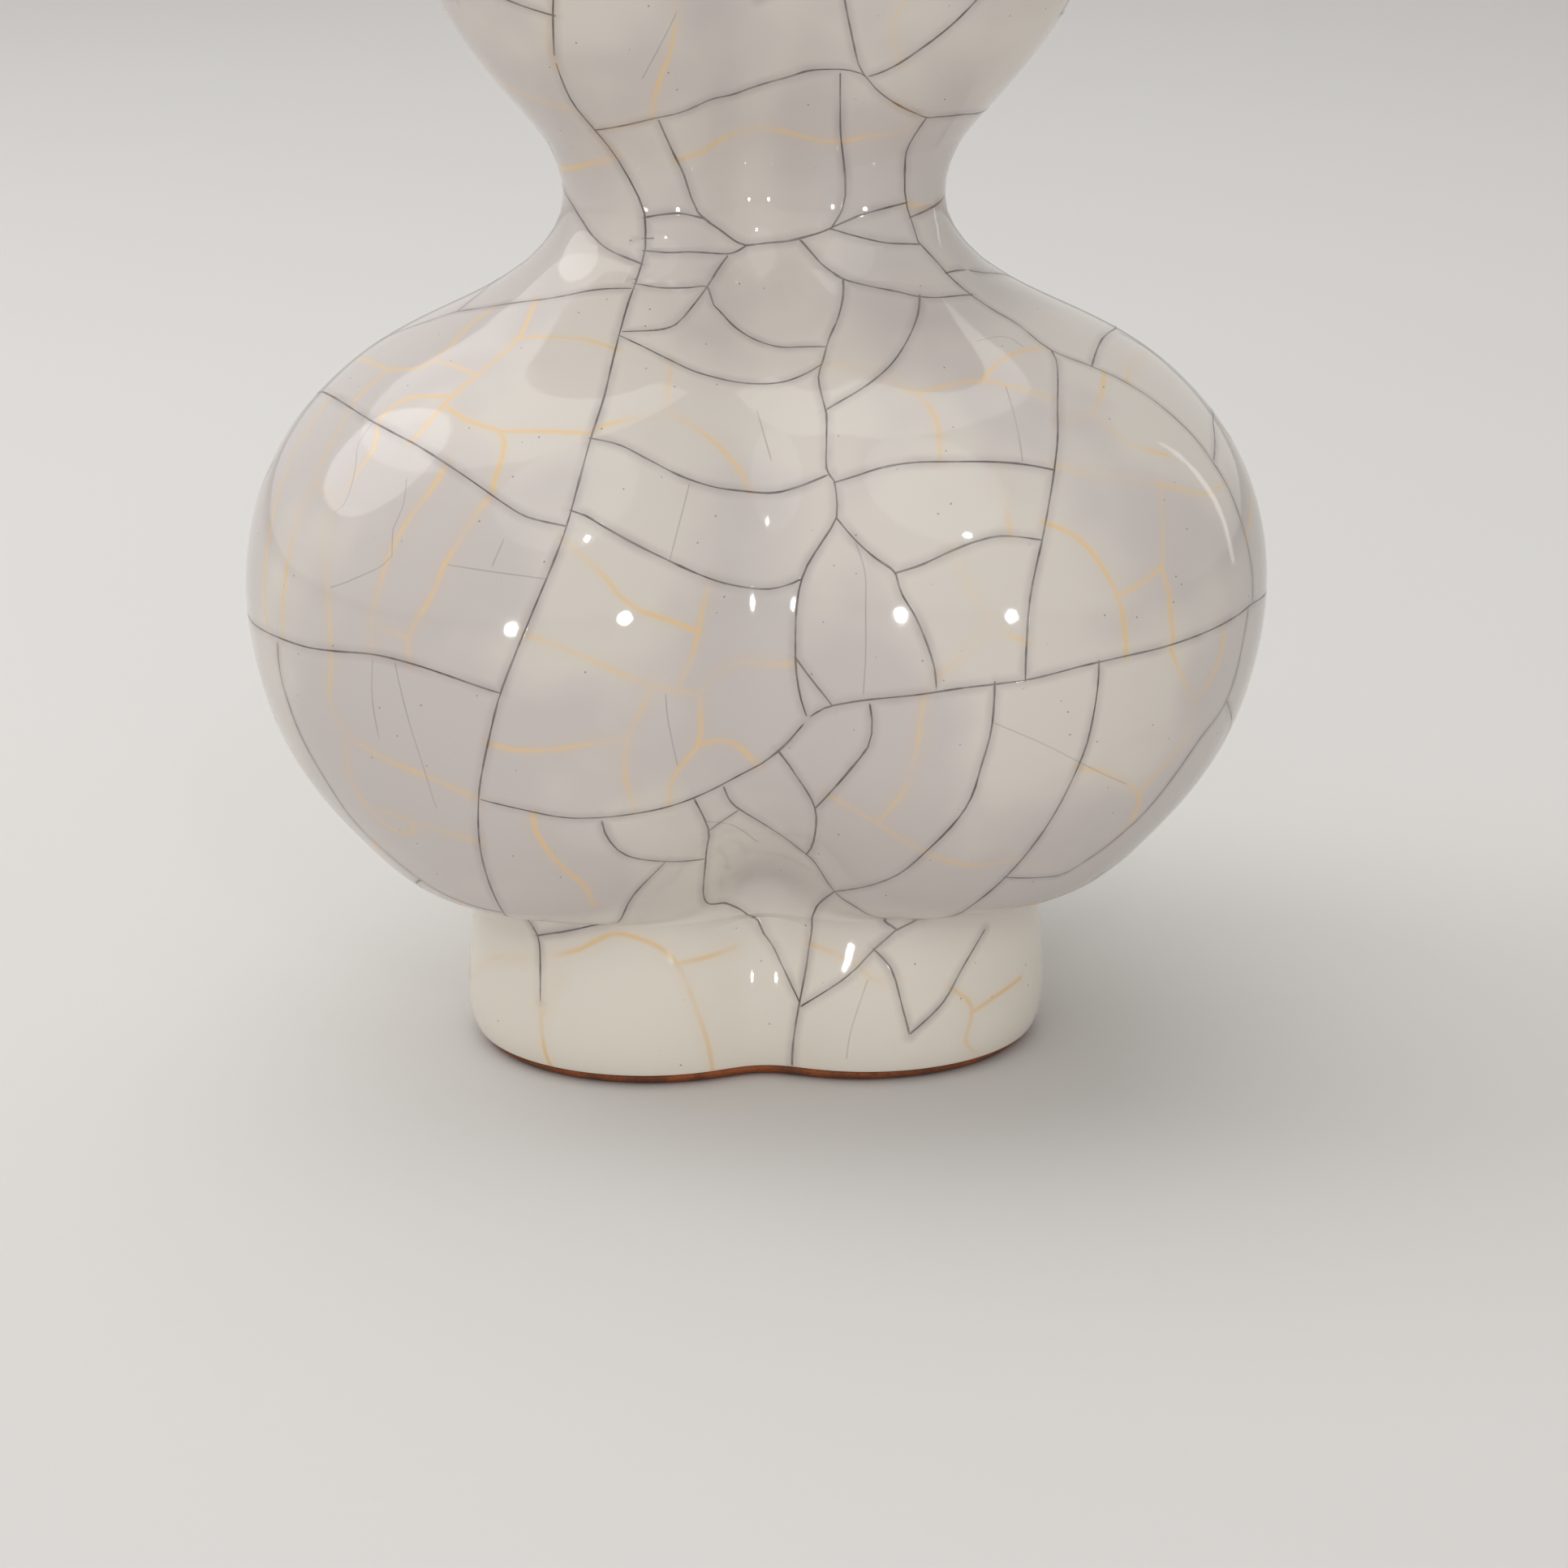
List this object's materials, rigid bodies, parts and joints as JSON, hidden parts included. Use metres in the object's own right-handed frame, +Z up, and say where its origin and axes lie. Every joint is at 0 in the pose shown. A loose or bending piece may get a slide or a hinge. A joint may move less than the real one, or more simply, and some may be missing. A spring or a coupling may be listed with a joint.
{
  "type": "double gourd vase",
  "caption": "Crackle-glazed double gourd vase of trefoil section: two lobed bulbs joined by a narrow waist, on a splayed foot, with a small mouth.",
  "frame": {"origin": "on the ground under the centre of the vase's outline in plan", "axes": "+Z up towards the mouth, -Y towards the viewer, where the groove between two lobes faces, third lobe towards +Y"},
  "size_m": [0.1432, 0.1358, 0.2],
  "materials": {
    "stoneware": "matte fired clay",
    "crackle_glaze": "glossy crackle glaze",
    "iron_slip": "matte rust-brown slip",
    "brown_glaze": "thin glossy glaze over the dark body"
  },
  "bodies": {
    "root": {"foot_ring": "stoneware", "base_floor": "stoneware", "lower_bulb_bottom": "stoneware", "lower_bulb_shoulder": "stoneware", "waist_collar": "stoneware", "upper_bulb_bottom": "stoneware", "upper_bulb_top": "stoneware", "mouth_collar": "stoneware", "outer_glaze": "crackle_glaze", "inner_glaze": "crackle_glaze", "base_glaze": "crackle_glaze", "mouth_rim_glaze": "brown_glaze", "foot_rim_slip": "iron_slip"}
  },
  "joints": []
}
